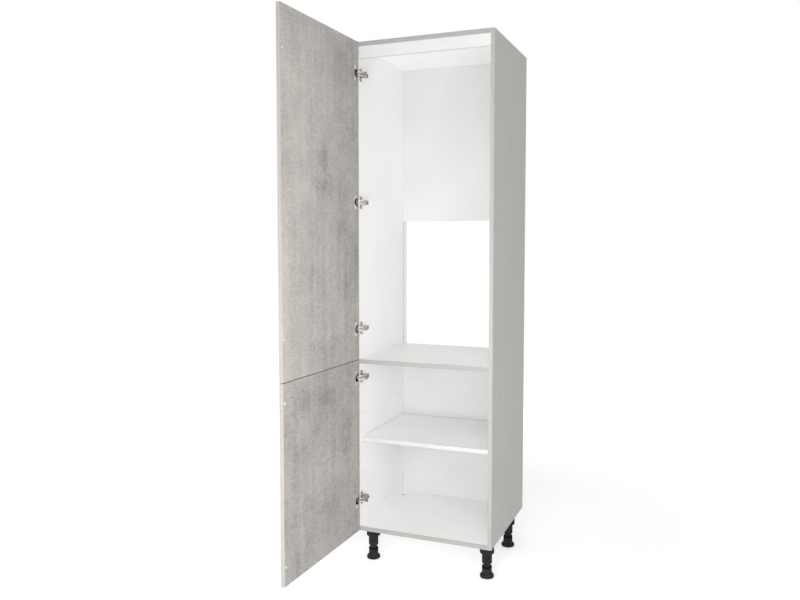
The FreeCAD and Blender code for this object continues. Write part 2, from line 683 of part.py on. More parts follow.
def door_bands(board, low, high):
    """Edge bands on all four edges of a door."""
    ds = (-DOOR_THICKNESS, 0)
    s_inside = (BAND_THICKNESS, DOOR_WIDTH - BAND_THICKNESS)
    strips = [
        block((0, BAND_THICKNESS), ds, (low, high)),
        block((DOOR_WIDTH - BAND_THICKNESS, DOOR_WIDTH), ds, (low, high)),
        block(s_inside, ds, (low, low + BAND_THICKNESS)),
        block(s_inside, ds, (high - BAND_THICKNESS, high)),
    ]
    return [board.common(band) for band in strips]


def bumper(height):
    """Soft stop on the inner face of a door, near its free edge."""
    s = DOOR_WIDTH - BUMPER_INSET
    dot = rod(BUMPER_RADIUS, V(s, 0, height), V(s, BUMPER_HEIGHT, height))
    crown = [edge for edge in dot.Edges if min(v.Y for v in edge.Vertexes) > BUMPER_HEIGHT / 2]
    return dot.makeFillet(BUMPER_ROUND, crown)


def build_door(which):
    """Door with its bands, bumpers, cups and links, standing open."""
    low, high = DOOR_SPANS[which]
    heights = HINGE_HEIGHTS[which]
    board = door_board(low, high)
    core = block((BAND_THICKNESS, DOOR_WIDTH - BAND_THICKNESS), (-DOOR_THICKNESS, 0),
                 (low + BAND_THICKNESS, high - BAND_THICKNESS))
    panel = board.common(core).cut(door_holes(which))
    inset = BUMPER_INSETS[which]
    bumpers = [bumper(low + inset), bumper(high - inset)]
    on_door = {
        "door_panel": [panel],
        "door_bands": door_bands(board, low, high),
        "bumpers": bumpers,
        "cup_screws": at_heights(cup_screws(), heights),
        "cup_pins": at_heights(cup_pins(), heights),
    }
    for number, cup in enumerate(at_heights([hinge_cup()], heights), 1):
        on_door["cup_" + str(number)] = [cup]
    for name, shapes in on_door.items():
        save(which + "_" + name, [on_open_door(shape) for shape in shapes])
    save(which + "_outer_links", at_heights(outer_link(), heights))
    save(which + "_inner_links", at_heights([inner_link()], heights))
    for number, height in enumerate(heights, 1):
        save(which + "_arm_" + str(number), [lifted(hinge_arm(), height)])
        save(which + "_plate_" + str(number), [lifted(mounting_plate(), height)])


def build_hinge_fixings():
    """Pins and screws that stay on the carcass side of the hinges."""
    save("arm_pins", at_heights(arm_pins(), ALL_HINGES))
    save("arm_screws", at_heights([arm_screw(y) for y in ARM_SCREWS], ALL_HINGES))
    save("plate_screws", [plate_screw(height) for height in plate_screw_heights()])


# Legs
def leg(name):
    """Plate, socket and tube of a leg, moulded in one."""
    x, y = LEG_PLACES[name]
    bore = FOOT_STEM_RADIUS + FOOT_CLEARANCE
    body = turned([
        (bore, LEG_TUBE_END),
        (LEG_TUBE_RADIUS - LEG_TUBE_CHAMFER, LEG_TUBE_END),
        (LEG_TUBE_RADIUS, LEG_TUBE_END + LEG_TUBE_CHAMFER),
        (LEG_TUBE_RADIUS, SOCKET_END),
        (LEG_SOCKET_RADIUS, SOCKET_END),
        (LEG_SOCKET_RADIUS, LEG_PLATE_UNDER),
        (bore, LEG_PLATE_UNDER),
    ], x, y)
    plate = block((x - LEG_PLATE_WIDTH / 2, x + LEG_PLATE_WIDTH / 2),
                  (y - LEG_PLATE_LENGTH / 2, y + LEG_PLATE_LENGTH / 2), (LEG_PLATE_UNDER, LEG_HEIGHT))
    upright = [edge for edge in plate.Edges if abs(edge.tangentAt(edge.FirstParameter).z) > 0.5]
    plate = plate.makeFillet(LEG_PLATE_CORNER, upright)
    access = rod(ACCESS_RADIUS, V(x, y, LEG_PLATE_UNDER), V(x, y, LEG_HEIGHT))
    bearing = math.radians(LEG_HOLE_BEARING)
    centre = V(x, y, SOCKET_END - LEG_HOLE_DROP)
    outward = V(math.sin(bearing), -math.cos(bearing), 0)
    side_hole = rod(LEG_HOLE_RADIUS, centre, centre + outward * LEG_SOCKET_RADIUS)
    screws = [leg_screw(place) for place in leg_screw_places(name)]
    return joined([body, plate]).cut([access, side_hole] + screws)


def foot(name):
    """Foot with a stem that slides in the leg, a flared pad and a socket for a driver."""
    x, y = LEG_PLACES[name]
    stem_top = FOOT_TOP + FOOT_STEM_LENGTH
    body = turned([
        (0, 0),
        (FOOT_PAD_RADIUS - FOOT_PAD_EDGE, 0),
        (FOOT_PAD_RADIUS, FOOT_PAD_EDGE),
        (FOOT_PAD_RADIUS, FOOT_PAD_TOP),
        (FOOT_RADIUS, FOOT_PAD_TOP + FOOT_FLARE),
        (FOOT_RADIUS, FOOT_SHOULDER),
        (FOOT_STEM_RADIUS, FOOT_TOP),
        (FOOT_STEM_RADIUS, stem_top),
        (0, stem_top),
    ], x, y)
    drive = rod(DRIVE_RADIUS, V(x, y, stem_top - DRIVE_DEPTH), V(x, y, stem_top))
    return body.cut(drive)


def build_legs():
    """Four legs and their feet."""
    for name in LEG_PLACES:
        save("leg_" + name, [leg(name)])
        save("foot_" + name, [foot(name)])


os.makedirs("parts", exist_ok=True)
build_carcass()
build_loose_shelf()
for door_name in DOOR_SPANS:
    build_door(door_name)
build_hinge_fixings()
build_legs()
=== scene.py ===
import json
import math

import bmesh
import bpy
import numpy as np
from mathutils import Color, Matrix, Vector


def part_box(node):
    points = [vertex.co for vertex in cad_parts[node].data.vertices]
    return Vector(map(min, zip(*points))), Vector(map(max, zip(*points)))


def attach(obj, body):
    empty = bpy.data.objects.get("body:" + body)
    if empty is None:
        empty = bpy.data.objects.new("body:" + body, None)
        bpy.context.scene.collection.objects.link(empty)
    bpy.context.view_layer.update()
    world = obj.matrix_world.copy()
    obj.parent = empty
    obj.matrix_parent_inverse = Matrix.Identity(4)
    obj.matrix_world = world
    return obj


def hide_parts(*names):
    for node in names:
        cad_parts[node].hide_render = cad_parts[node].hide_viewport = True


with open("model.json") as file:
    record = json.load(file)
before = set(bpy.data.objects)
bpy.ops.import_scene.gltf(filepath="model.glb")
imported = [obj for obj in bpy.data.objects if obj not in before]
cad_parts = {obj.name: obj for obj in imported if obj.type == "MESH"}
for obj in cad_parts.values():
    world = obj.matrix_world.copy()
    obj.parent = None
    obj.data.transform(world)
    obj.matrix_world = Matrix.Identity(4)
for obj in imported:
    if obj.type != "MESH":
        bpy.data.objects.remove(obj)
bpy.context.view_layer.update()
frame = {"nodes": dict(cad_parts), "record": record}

nodes = frame["nodes"]
scene = bpy.context.scene
scene.view_settings.view_transform = "Standard"

# Tones of the finishes: a colour and its shade, as sRGB values from 0 to 255
WHITE_BOARD = (252, 252, 252), (249, 249, 249)
# A darker copy of the board's white for the front rail, painted shade against the front lamps
WHITE_FRONT_SHADED = (214, 214, 214), (209, 209, 209)
# A darker white for the white edge bands, painted shade against the front lamps
WHITE_EDGE_SHADED = (204, 204, 204), (198, 198, 198)
WHITE_BACK = (212, 212, 212), (207, 207, 207)
GREY_BOARD = (190, 188, 184), (179, 177, 173)
GREY_BAND = (171, 169, 165), (161, 159, 155)
# A darker copy of the grey band for the level edges, painted shade
LEVEL_BAND_SHADED = (166, 164, 160), (156, 154, 150)
DOOR_EDGE = (170, 167, 162), (160, 157, 152)
CONCRETE = (207, 201, 195), (142, 138, 135)
BRIGHT_NICKEL = (222, 220, 215), (196, 193, 187)
SATIN_NICKEL = (232, 229, 223), (200, 197, 190)
LINK_NICKEL = (150, 148, 142), (122, 119, 114)
# Painted shade in the well of the hinge cups
CUP_WELL_SHADE = (58, 56, 53), (40, 39, 37)
ZINC = (190, 187, 180), (152, 149, 142)
PLATE_ZINC = (176, 173, 166), (140, 137, 131)
STEEL = (224, 224, 222), (180, 180, 178)
BURNISHED = (60, 58, 54), (36, 35, 33)
BLACK_PLASTIC = (48, 48, 49), (34, 34, 35)
# Painted shade on the rim atop the feet
RIM_PAINTED_SHADE = (14, 14, 14), (8, 8, 8)
WHITE_PLASTIC = (250, 250, 250), (242, 242, 242)
CLEAR_PLASTIC = (226, 225, 222), (212, 211, 208)
BEECH = (214, 186, 148), (190, 156, 116)

# Colours inside drilled holes, and the painted shade inside the bushes' bores, in the same values
RAW_BOARD = (92, 80, 68)
BORE_PAINTED_SHADE = (14, 14, 14)

# Shader building: a colour's full value, the sockets of a mix of colours, and the vector operations that
# give a number
FULL_BYTE = 255
MIX_FACTOR, MIX_FIRST, MIX_SECOND = 0, 6, 7
MIX_RESULT = 2
NUMBER_OPERATIONS = ("LENGTH", "DOT_PRODUCT")


def linear(rgb):
    """Scene-linear colour of an sRGB triple."""
    return (*Color([part / FULL_BYTE for part in rgb]).from_srgb_to_scene_linear(), 1.0)


def add(tree, kind, inputs=None, **settings):
    """New shader node; an input is a value or the output of another node."""
    made = tree.nodes.new(kind)
    for key, value in settings.items():
        setattr(made, key, value)
    for key, value in (inputs or {}).items():
        if isinstance(value, bpy.types.NodeSocket):
            tree.links.new(value, made.inputs[key])
        else:
            made.inputs[key].default_value = value
    return made


def math_node(tree, operation, *values):
    """Result of one operation on numbers."""
    return add(tree, "ShaderNodeMath", dict(enumerate(values)), operation=operation).outputs[0]


def vector_node(tree, operation, *values):
    """Result of one operation on vectors, which is a number for a length or a dot product."""
    made = add(tree, "ShaderNodeVectorMath", dict(enumerate(values)), operation=operation)
    return made.outputs["Value" if operation in NUMBER_OPERATIONS else "Vector"]


def mix_colour(tree, factor, first, second):
    """Colour between two others."""
    inputs = {MIX_FACTOR: factor, MIX_FIRST: first, MIX_SECOND: second}
    return add(tree, "ShaderNodeMix", inputs, data_type="RGBA").outputs[MIX_RESULT]


def ramp(tree, value, start=(0.0, 1.0), end=(0.0, 1.0), kind="LINEAR"):
    """Value moved from one range onto another, and held there."""
    made = add(tree, "ShaderNodeMapRange", {
        "Value": value, "From Min": start[0], "From Max": start[1], "To Min": end[0], "To Max": end[1],
    }, interpolation_type=kind)
    return made.outputs["Result"]


def object_place(tree):
    """Place on the object, in metres of the frame."""
    return add(tree, "ShaderNodeTexCoord").outputs["Object"]


def noise(tree, scale, stretch=(1, 1, 1), place=(0, 0, 0), detail=3.0, roughness=0.5, distortion=0.0):
    """Noise on the object's own place, with scale in features per metre, stretched along the axes."""
    placed = {"Vector": object_place(tree), "Scale": stretch, "Location": place}
    mapped = add(tree, "ShaderNodeMapping", placed)
    made = add(tree, "ShaderNodeTexNoise", {
        "Vector": mapped.outputs["Vector"], "Scale": scale, "Detail": detail,
        "Roughness": roughness, "Distortion": distortion,
    })
    return made.outputs["Fac"]


def near_line(tree, places, point, across, reach):
    """1 within reach of the line through a point, measured across the axes given, and 0 elsewhere."""
    offset = vector_node(tree, "MULTIPLY", vector_node(tree, "SUBTRACT", places, point), across)
    return math_node(tree, "LESS_THAN", vector_node(tree, "LENGTH", offset), reach)


def bump(tree, shader, height, depth, strength):
    """Fine relief on a shader, with its depth in metres."""
    made = add(tree, "ShaderNodeBump", {"Height": height, "Distance": depth, "Strength": strength})
    tree.links.new(made.outputs["Normal"], shader.inputs["Normal"])


# What materials share: the range of a noise that spans two tones, the detail of a grain, and glosses
NOISE_RANGE = (0.3, 0.7)
GRAIN_DETAIL = 2.0
PLAIN_SPECULAR = 0.5
LAMINATE_SPECULAR = 0.3


def new_material(name, roughness, specular=PLAIN_SPECULAR, metallic=0.0):
    """Material with a principled shader; returns it, its tree and the shader."""
    material = bpy.data.materials.new(name)
    material.use_nodes = True
    tree = material.node_tree
    shader = tree.nodes["Principled BSDF"]
    shader.inputs["Roughness"].default_value = roughness
    shader.inputs["Specular IOR Level"].default_value = specular
    shader.inputs["Metallic"].default_value = metallic
    return material, tree, shader


def toned(tree, factor, tones):
    """Colour that runs from the shade of a pair of tones to its colour."""
    colour, shade = tones
    return mix_colour(tree, factor, linear(shade), linear(colour))


def mottled(tree, tones, **pattern):
    """Colour that runs between a pair of tones by noise."""
    return toned(tree, ramp(tree, noise(tree, **pattern), NOISE_RANGE), tones)


def grain(tree, shader, scale, depth, strength):
    """Fine even relief."""
    bump(tree, shader, noise(tree, scale, detail=GRAIN_DETAIL), depth, strength)


# Boards: how far inside a side panel's faces the white and the grey end, and how far from the panel's
# own edges its drilled holes stay, in metres
INNER_SKIN = 0.0002
OUTER_SKIN = 0.0015
HOLE_MARGIN = 0.006
BOARD_ROUGHNESS = 0.42
BOARD_MOTTLE = {"scale": 5.0}
BOARD_STREAKS = {"scale": 6.0, "stretch": (1, 14, 0.5), "detail": 6.0, "roughness": 0.65}
BOARD_PEEL = {"scale": 700.0, "depth": 0.0002, "strength": 0.15}
Y_AND_Z = (1, 2)


def board_material(name, tones, side_box=None):
    """Melamine board with a faint orange-peel face. With the box of the right side panel it is that of both
    side panels: streaked grey outside, and raw board on the walls of the holes."""
    material, tree, shader = new_material(name, BOARD_ROUGHNESS, LAMINATE_SPECULAR)
    base = mottled(tree, tones, **BOARD_MOTTLE)
    if side_box:
        low, high = side_box
        places = add(tree, "ShaderNodeSeparateXYZ", {"Vector": object_place(tree)}).outputs
        across = math_node(tree, "ABSOLUTE", places["X"])
        drilled = math_node(tree, "GREATER_THAN", across, low[0] + INNER_SKIN)
        for axis in Y_AND_Z:
            half = (high[axis] - low[axis]) / 2 - HOLE_MARGIN
            within = math_node(tree, "COMPARE", places[axis], (low[axis] + high[axis]) / 2, half)
            drilled = math_node(tree, "MULTIPLY", drilled, within)
        base = mix_colour(tree, drilled, base, linear(RAW_BOARD))
        outside = math_node(tree, "GREATER_THAN", across, high[0] - OUTER_SKIN)
        base = mix_colour(tree, outside, base, mottled(tree, GREY_BOARD, **BOARD_STREAKS))
    tree.links.new(base, shader.inputs["Base Color"])
    grain(tree, shader, **BOARD_PEEL)
    return material


# Edge bands, with streaks along their length
BAND_ROUGHNESS = 0.45
BAND_STREAKS = {"scale": 5.0, "detail": 5.0, "roughness": 0.6}
BAND_PEEL = {"scale": 600.0, "depth": 0.0002, "strength": 0.15}
UPRIGHT = (60, 60, 0.6)
LEVEL = (0.6, 60, 60)


def band_material(name, tones, stretch):
    """Edge band, upright or level by the stretch of its streaks."""
    material, tree, shader = new_material(name, BAND_ROUGHNESS, LAMINATE_SPECULAR)
    base = mottled(tree, tones, stretch=stretch, **BAND_STREAKS)
    tree.links.new(base, shader.inputs["Base Color"])
    grain(tree, shader, **BAND_PEEL)
    return material


# Doors as they stand open, in metres and radians: sizes, how far they are past a right angle, and the
# hinge edge and the direction of the inner face
DOOR_WIDTH = 0.597
DOOR_THICKNESS = 0.016
DOOR_BAND = 0.001
DOOR_LEAN = math.radians(1.5)
door_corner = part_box("upper_door_panel")[1]
HINGE_EDGE_Y = door_corner[1] + DOOR_BAND * math.cos(DOOR_LEAN) - DOOR_THICKNESS * math.sin(DOOR_LEAN)
FREE_EDGE_Y = HINGE_EDGE_Y - DOOR_WIDTH
DOOR_FACE_PLACE = (door_corner[0], HINGE_EDGE_Y, 0.0)
DOOR_FACE_OUT = (math.cos(DOOR_LEAN), -math.sin(DOOR_LEAN), 0.0)

# Concrete print: layers of noise with their weights, from broad to fine, and the range that spans the tones
CONCRETE_ROUGHNESS = 0.6
CONCRETE_LAYERS = (
    (0.25, {"scale": 4.5, "detail": 5.0, "roughness": 0.6, "distortion": 0.4}),
    (0.15, {"scale": 22.0, "detail": 5.0, "roughness": 0.65, "distortion": 0.6}),
    (0.16, {"scale": 9.0, "stretch": (1, 4, 0.16)}),
    (0.20, {"scale": 75.0, "stretch": (1, 0.45, 1), "detail": 4.0, "roughness": 0.7}),
    (0.34, {"scale": 150.0, "stretch": (1, 0.36, 1), "roughness": 0.8}),
)
CONCRETE_RANGE = (0.37, 0.73)
CONCRETE_RELIEF = {"depth": 0.0004, "strength": 0.25}

# Soft darker and lighter places of the print: distance from the hinge edge, height, half width and half
# height in metres, and depth, which is negative for a lighter place; noise ripples their rims
UPPER_CLOUDS = (
    (0.524, 2.112, 0.10, 0.15, 0.14), (0.114, 2.072, 0.15, 0.14, 0.16), (0.384, 1.862, 0.04, 0.08, 0.10),
    (0.294, 1.716, 0.07, 0.08, 0.24), (0.304, 1.602, 0.12, 0.06, 0.20), (0.154, 1.442, 0.11, 0.13, 0.22),
    (0.054, 1.332, 0.10, 0.20, 0.18), (0.424, 1.492, 0.03, 0.11, 0.10), (0.384, 1.252, 0.06, 0.15, 0.08),
    (0.104, 1.212, 0.09, 0.10, 0.10), (0.404, 1.122, 0.08, 0.07, 0.10), (0.224, 1.032, 0.04, 0.16, 0.10),
    (0.474, 1.812, 0.15, 0.22, -0.12), (0.454, 1.552, 0.14, 0.14, -0.10), (0.574, 1.212, 0.06, 0.32, -0.12),
)
LOWER_CLOUDS = (
    (0.454, 0.802, 0.12, 0.11, 0.22), (0.284, 0.788, 0.11, 0.08, 0.22), (0.104, 0.642, 0.13, 0.06, 0.14),
    (0.124, 0.556, 0.09, 0.08, 0.18), (0.474, 0.612, 0.15, 0.07, 0.08), (0.494, 0.242, 0.15, 0.12, 0.12),
    (0.334, 0.512, 0.13, 0.18, -0.10), (0.094, 0.732, 0.10, 0.05, -0.10),
)
CLOUD_WARP = 0.13
RIPPLE = {"Scale": 16.0, "Detail": 5.0, "Roughness": 0.65}

# Where on the endless print each door is cut, and its painted light and shade: a change of tone at the free
# and the hinge edge that stands for how the light falls on each door
UPPER_CUT = (0.0, 0.0, 0.0)
LOWER_CUT = (3.0, 7.0, 5.0)
UPPER_PAINTED_SHADING = (0.12, -0.17)
LOWER_PAINTED_SHADING = (-0.13, -0.15)

# Handle holes of the doors, in metres
HANDLE_HOLE_REACH = 0.0028
HANDLE_INSET = 0.056
HANDLE_SPACING = 0.160
UPPER_HANDLE_RISE = 0.0885
LOWER_HANDLE_DROP = 0.056
ACROSS_X = (0.0, 1.0, 1.0)


def handle_holes(height):
    """Points on the axes of a door's two handle holes."""
    first = FREE_EDGE_Y + HANDLE_INSET
    return [(0.0, y, height) for y in (first, first + HANDLE_SPACING)]


def cloud(tree, places, along, height, half_width, half_height, depth):
    """Depth of one soft place, fading to nothing at its rim."""
    y = HINGE_EDGE_Y - along
    mapped = add(tree, "ShaderNodeMapping", {
        "Vector": places, "Scale": (0.0, 1 / half_width, 1 / half_height),
        "Location": (0.0, -y / half_width, -height / half_height),
    })
    away = vector_node(tree, "LENGTH", mapped.outputs["Vector"])
    return ramp(tree, away, end=(depth, 0.0), kind="SMOOTHSTEP")


def rippled(tree, places):
    """Places moved to and fro by noise."""
    ripple = add(tree, "ShaderNodeTexNoise", {"Vector": places, **RIPPLE}).outputs["Color"]
    moved = vector_node(tree, "MULTIPLY_ADD", ripple, (CLOUD_WARP,) * 3, places)
    return vector_node(tree, "ADD", moved, (-CLOUD_WARP / 2,) * 3)


def concrete_material(name, cut, clouds, painted_shading, holes):
    """Concrete-look laminate with clouds, tall streaks and fine speckle, and painted light and shade from
    the free to the hinge edge; its holes show raw board.
    """
    material, tree, shader = new_material(name, CONCRETE_ROUGHNESS, LAMINATE_SPECULAR)
    places = object_place(tree)
    total = 0.0
    for weight, pattern in CONCRETE_LAYERS:
        layer = noise(tree, place=cut, **pattern)
        total = math_node(tree, "MULTIPLY_ADD", layer, weight, total)
    speckle = layer
    total = ramp(tree, total, CONCRETE_RANGE)
    moved = rippled(tree, places)
    for one in clouds:
        total = math_node(tree, "SUBTRACT", total, cloud(tree, moved, *one))
    along = add(tree, "ShaderNodeSeparateXYZ", {"Vector": places}).outputs["Y"]
    # painted light and shade: the tone is raised or lowered from the free to the hinge edge as the light
    # would fall
    total = math_node(tree, "ADD", total, ramp(tree, along, (FREE_EDGE_Y, HINGE_EDGE_Y), painted_shading))
    base = toned(tree, total, CONCRETE)
    for hole in holes:
        inside = near_line(tree, places, hole, ACROSS_X, HANDLE_HOLE_REACH)
        base = mix_colour(tree, inside, base, linear(RAW_BOARD))
    tree.links.new(base, shader.inputs["Base Color"])
    bump(tree, shader, speckle, **CONCRETE_RELIEF)
    return material


# Metals: patterns of tone and wear, the range of the wear as shares of the roughness, and the height over
# the door's face, in metres, below which a hinge cup's well lies and is painted dark as shade
METAL_MOTTLE = {"scale": 60.0}
METAL_WEAR = {"scale": 220.0}
WEAR_RANGE = (0.8, 1.3)
WELL_TOP = -0.0008


def metal_material(name, tones, roughness, well_shade=None):
    """Plated metal with small changes of tone and gloss; a hinge cup's well gets a dark pair of tones as
    painted shade.
    """
    material, tree, shader = new_material(name, roughness, metallic=1.0)
    base = mottled(tree, tones, **METAL_MOTTLE)
    if well_shade:
        # painted shade: the cup's well below the door's face is coloured dark
        offset = vector_node(tree, "SUBTRACT", object_place(tree), DOOR_FACE_PLACE)
        above = vector_node(tree, "DOT_PRODUCT", offset, DOOR_FACE_OUT)
        well_shade_mask = math_node(tree, "LESS_THAN", above, WELL_TOP)
        base = mix_colour(tree, well_shade_mask, base, mottled(tree, well_shade, **METAL_MOTTLE))
    tree.links.new(base, shader.inputs["Base Color"])
    worn = [roughness * share for share in WEAR_RANGE]
    tree.links.new(ramp(tree, noise(tree, **METAL_WEAR), end=worn), shader.inputs["Roughness"])
    return material


# Plastics; the bushes in the base have a rim of this radius, and the painted shade of their bores reaches
# so far from the axis, in metres
PLASTIC_MOTTLE = {"scale": 40.0}
PLASTIC_GRAIN = {"scale": 900.0, "depth": 0.0002, "strength": 0.2}
BUSH_RIM_RADIUS = 0.009
BORE_SHADE_REACH = 0.0058
ACROSS_Z = (1.0, 1.0, 0.0)


def plastic_material(name, tones, roughness, specular=PLAIN_SPECULAR, bush_box=None):
    """Moulded plastic with a fine grain; with the box of the two bushes, their bores are painted dark as
    shade.
    """
    material, tree, shader = new_material(name, roughness, specular)
    base = mottled(tree, tones, **PLASTIC_MOTTLE)
    if bush_box:
        low, high = bush_box
        axis = (high[0] - BUSH_RIM_RADIUS, abs(low[1] + high[1]) / 2, 0.0)
        mirrored = vector_node(tree, "ABSOLUTE", object_place(tree))
        # painted shade: the bores are coloured dark
        inside = near_line(tree, mirrored, axis, ACROSS_Z, BORE_SHADE_REACH)
        base = mix_colour(tree, inside, base, linear(BORE_PAINTED_SHADE))
    tree.links.new(base, shader.inputs["Base Color"])
    grain(tree, shader, **PLASTIC_GRAIN)
    return material


# Wood of the dowels
WOOD_ROUGHNESS = 0.6
WOOD_GRAIN = {"scale": 20.0, "stretch": (1, 20, 20), "detail": 4.0}


def wood_material(name, tones):
    """Plain turned wood with grain along its length."""
    material, tree, shader = new_material(name, WOOD_ROUGHNESS)
    tree.links.new(mottled(tree, tones, **WOOD_GRAIN), shader.inputs["Base Color"])
    return material


# Materials of the nodes
upper_holes = handle_holes(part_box("upper_door_panel")[0][2] + UPPER_HANDLE_RISE)
lower_holes = handle_holes(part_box("lower_door_panel")[1][2] - LOWER_HANDLE_DROP)

white_board = board_material("white_board", WHITE_BOARD)
side_board = board_material("side_board", WHITE_BOARD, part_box("right_side_panel"))
rail_board = board_material("rail_board", WHITE_FRONT_SHADED)
back_board = board_material("back_board", WHITE_BACK)
upright_band = band_material("upright_band", GREY_BAND, UPRIGHT)
level_band_shaded = band_material("level_band_shaded", LEVEL_BAND_SHADED, LEVEL)
white_band = band_material("white_band", WHITE_EDGE_SHADED, LEVEL)
door_band = band_material("door_band", DOOR_EDGE, UPRIGHT)
upper_concrete = concrete_material("upper_concrete", UPPER_CUT, UPPER_CLOUDS, UPPER_PAINTED_SHADING, upper_holes)
lower_concrete = concrete_material("lower_concrete", LOWER_CUT, LOWER_CLOUDS, LOWER_PAINTED_SHADING, lower_holes)
bright_nickel = metal_material("bright_nickel", BRIGHT_NICKEL, roughness=0.36)
link_nickel = metal_material("link_nickel", LINK_NICKEL, roughness=0.4)
cup_nickel = metal_material("cup_nickel", SATIN_NICKEL, roughness=0.45, well_shade=CUP_WELL_SHADE)
zinc = metal_material("zinc", ZINC, roughness=0.38)
plate_zinc = metal_material("plate_zinc", PLATE_ZINC, roughness=0.42)
steel = metal_material("steel", STEEL, roughness=0.3)
burnished = metal_material("burnished", BURNISHED, roughness=0.4)
black_plastic = plastic_material("black_plastic", BLACK_PLASTIC, roughness=0.5, specular=0.06)
rim_painted_shade = plastic_material("rim_painted_shade", RIM_PAINTED_SHADE, roughness=0.7, specular=0.04)
white_plastic = plastic_material("white_plastic", WHITE_PLASTIC, roughness=0.35)
bush_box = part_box("leg_access_bushes")
bush_plastic = plastic_material("bush_plastic", WHITE_PLASTIC, roughness=0.35, bush_box=bush_box)
clear_plastic = plastic_material("clear_plastic", CLEAR_PLASTIC, roughness=0.25)
beech = wood_material("beech", BEECH)

SLOT_MATERIALS = {
    "carcass_board": white_board, "rail_board": rail_board, "back_board": back_board,
    "grey_edge": level_band_shaded, "white_edge": white_band, "door_edge": door_band,
    "dowel_wood": beech, "hinge_nickel": bright_nickel, "pin_steel": steel, "screw_steel": steel,
    "bumper_clear": clear_plastic, "white_plastic": white_plastic, "leg_plastic": black_plastic,
}
NODE_MATERIALS = {
    "left_side_panel": side_board, "right_side_panel": side_board,
    "left_side_band": upright_band, "right_side_band": upright_band,
    "upper_door_panel": upper_concrete, "lower_door_panel": lower_concrete,
    "upper_inner_links": link_nickel, "lower_inner_links": link_nickel,
    "leg_access_bushes": bush_plastic,
}
HINGE_FINISHES = {"_arm_": zinc, "_plate_": plate_zinc, "_cup_": cup_nickel}


def finish_of(name, slot):
    """Material of a node: that of its hinge part, its own, or that of its slot."""
    if slot == "hinge_nickel":
        for word, material in HINGE_FINISHES.items():
            if word in name:
                return material
    return NODE_MATERIALS.get(name) or SLOT_MATERIALS[slot]


for part in frame["record"]["subparts"]:
    node_mesh = nodes[part["node"]].data
    node_mesh.materials.clear()
    node_mesh.materials.append(finish_of(part["node"], part["material_slot"]))


# Pieces, in metres; points nearer than the weld are one, and places are compared to so many digits
SMOOTH_ANGLE = math.radians(35)
WELD = 1e-6
PLACE_DIGITS = 4
UP = Vector((0.0, 0.0, 1.0))


def piece(name, bm, body, materials, replaced):
    """Mesh as a piece that rides on a body and stands for a node of the frame."""
    bmesh.ops.recalc_face_normals(bm, faces=bm.faces)
    mesh = bpy.data.meshes.new(name)
    bm.to_mesh(mesh)
    bm.free()
    for material in materials:
        mesh.materials.append(material)
    mesh.shade_smooth()
    mesh.set_sharp_from_angle(angle=SMOOTH_ANGLE)
    made = bpy.data.objects.new(name, mesh)
    scene.collection.objects.link(made)
    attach(made, body)
    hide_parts(replaced)


def ring(bm, place, radius, height, count, flutes=0, depth=0.0):
    """Ring of points round an axis, with shallow flutes if asked; one point where the radius is nothing."""
    if radius == 0.0:
        return [bm.verts.new(place @ (UP * height))]
    points = []
    for step in range(count):
        turn = math.tau * step / count
        reach = radius - depth * (1 - math.cos(flutes * turn)) / 2
        corner = Vector((reach * math.cos(turn), reach * math.sin(turn), height))
        points.append(bm.verts.new(place @ corner))
    return points


def join_rings(bm, first, second, material=0):
    """Faces between two rings of points, one of which may be a single point."""
    count = max(len(first), len(second))
    for step in range(count):
        after = (step + 1) % count
        corners = [first[step % len(first)], first[after % len(first)]]
        corners += [second[after % len(second)], second[step % len(second)]]
        bm.faces.new(list(dict.fromkeys(corners))).material_index = material


def loose_parts(name):
    """Points of each separate solid of a node, in the order of their places."""
    bm = bmesh.new()
    bm.from_mesh(nodes[name].data)
    bmesh.ops.remove_doubles(bm, verts=bm.verts, dist=WELD)
    left = set(bm.verts)
    parts = []
    for start in bm.verts:
        if start not in left:
            continue
        left.remove(start)
        part, reached = [], [start]
        while reached:
            vert = reached.pop()
            part.append(vert.co[:])
            beside = [edge.other_vert(vert) for edge in vert.link_edges]
            new = [other for other in beside if other in left]
            left.difference_update(new)
            reached.extend(new)
        parts.append(np.array(part))
    bm.free()
    return sorted(parts, key=lambda part: tuple(part.mean(axis=0).round(PLACE_DIGITS)))


# Screws: a domed head with a cross recess, as shares of the head's radius and height, and a blunt tip
# of this length in metres; points beyond the rim's share of the greatest radius are on the head
SCREW_SEGMENTS = 24
HEAD_PROFILE = ((1.0, 0.0), (1.0, 0.4), (0.94, 0.68), (0.82, 0.9), (0.68, 1.0))
HEAD_RIM_SHARE = 0.95
CROSS_ARMS = 4
CROSS_HALF_WIDTH = 0.17
CROSS_REACH = 0.56
CROSS_DEPTH = 0.85
CROSS_TAPER = 0.55
TIP_LENGTH = 0.0015
TIP_SHARE = 0.35


def measure_screw(points):
    """Place of a screw's seat with its axis upwards, and its head's and shank's radius and length."""
    middle = points.mean(axis=0)
    axis = np.linalg.eigh(np.cov((points - middle).T))[1][:, -1]
    along = (points - middle) @ axis
    away = np.linalg.norm(points - middle - np.outer(along, axis), axis=1)
    in_head = away > HEAD_RIM_SHARE * away.max()
    if along[in_head].mean() < 0:
        axis, along = -axis, -along
    seat = along[in_head].min()
    shank = away[along < seat - TIP_LENGTH].max()
    turn = UP.rotation_difference(Vector(axis)).to_matrix().to_4x4()
    place = Matrix.Translation(Vector(middle + axis * seat)) @ turn
    return place, away.max(), along.max() - seat, shank, seat - along.min()


def cross_outline(radius):
    """Corners of a head's cross recess."""
    wide, far = CROSS_HALF_WIDTH, CROSS_REACH
    arm = ((far, -wide), (far, wide), (wide, wide))
    outline = []
    for count in range(CROSS_ARMS):
        spin = Matrix.Rotation(math.tau * count / CROSS_ARMS, 2)
        outline += [spin @ Vector(corner) * radius for corner in arm]
    return outline


